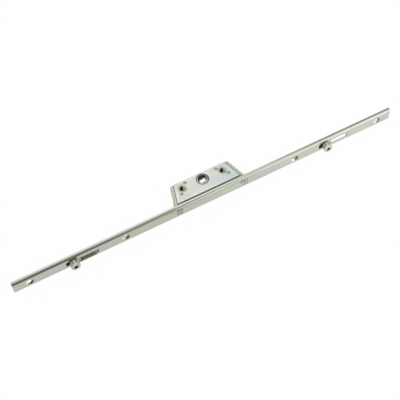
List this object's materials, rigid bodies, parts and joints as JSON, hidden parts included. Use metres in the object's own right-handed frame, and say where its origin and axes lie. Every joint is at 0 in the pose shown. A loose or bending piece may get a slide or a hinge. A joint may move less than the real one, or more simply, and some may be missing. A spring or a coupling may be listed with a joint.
{
  "type": "window espagnolette gearbox",
  "caption": "Narrow steel faceplate rail with a flat gearbox at its middle and mushroom locking cams that slide in slots when the square spindle hole is turned.",
  "frame": {"origin": "middle of the rail's front face, opposite the spindle", "axes": "+X along the rail, +Y from the front face into the gearbox, +Z out of the cover plate along the spindle"},
  "size_m": [0.4, 0.0339, 0.016],
  "materials": {
    "rail_zinc": "bright zinc plate, rolled along the rail",
    "case_zinc": "zinc plate, warm tone",
    "cover_zinc": "blue bright zinc plate",
    "rod_zinc": "zinc plate",
    "gear_steel": "plain hardened steel, oiled",
    "cam_steel": "turned and plated",
    "rivet_steel": "dull plate",
    "glide_nylon": "black, matt"
  },
  "bodies": {
    "case": {"faceplate_rail": "rail_zinc", "gearbox_body": "case_zinc", "cover_plate": "cover_zinc", "cover_rivet_1": "rivet_steel", "cover_rivet_2": "rivet_steel", "cover_rivet_3": "rivet_steel", "cover_rivet_4": "rivet_steel", "screw_sleeve_left": "case_zinc", "screw_sleeve_right": "case_zinc"},
    "drive_rod": {"drive_rod": "rod_zinc", "rack_slider": "gear_steel", "rack_rivet_left": "rivet_steel", "rack_rivet_right": "rivet_steel", "cam_block_left": "cam_steel", "cam_block_right": "cam_steel", "slot_glide_left": "glide_nylon", "slot_glide_right": "glide_nylon", "block_rivet_left": "rivet_steel", "block_rivet_right": "rivet_steel", "cam_washer_left": "rivet_steel", "cam_washer_right": "rivet_steel"},
    "follower": {"follower": "gear_steel"},
    "cam_left": {"cam_left": "cam_steel"},
    "cam_right": {"cam_right": "cam_steel"}
  },
  "joints": [
    {"name": "rod_slide", "type": "slide", "parent": "case", "child": "drive_rod", "axis": [1, 0, 0], "range_m": [0, 0.01767]},
    {"name": "handle_turn", "type": "hinge", "parent": "case", "child": "follower", "pos_m": [0, 0.02, 0], "axis": [0, 0, 1], "range_deg": [0, 90]},
    {"name": "cam_left_turn", "type": "hinge", "parent": "drive_rod", "child": "cam_left", "pos_m": [-0.14158, 0, 0], "axis": [0, 1, 0], "continuous": true},
    {"name": "cam_right_turn", "type": "hinge", "parent": "drive_rod", "child": "cam_right", "pos_m": [0.12521, 0, 0], "axis": [0, 1, 0], "continuous": true}
  ],
  "couplings": [
    {"joint": "handle_turn", "follows": "rod_slide", "rad_per_m": 88.889}
  ]
}
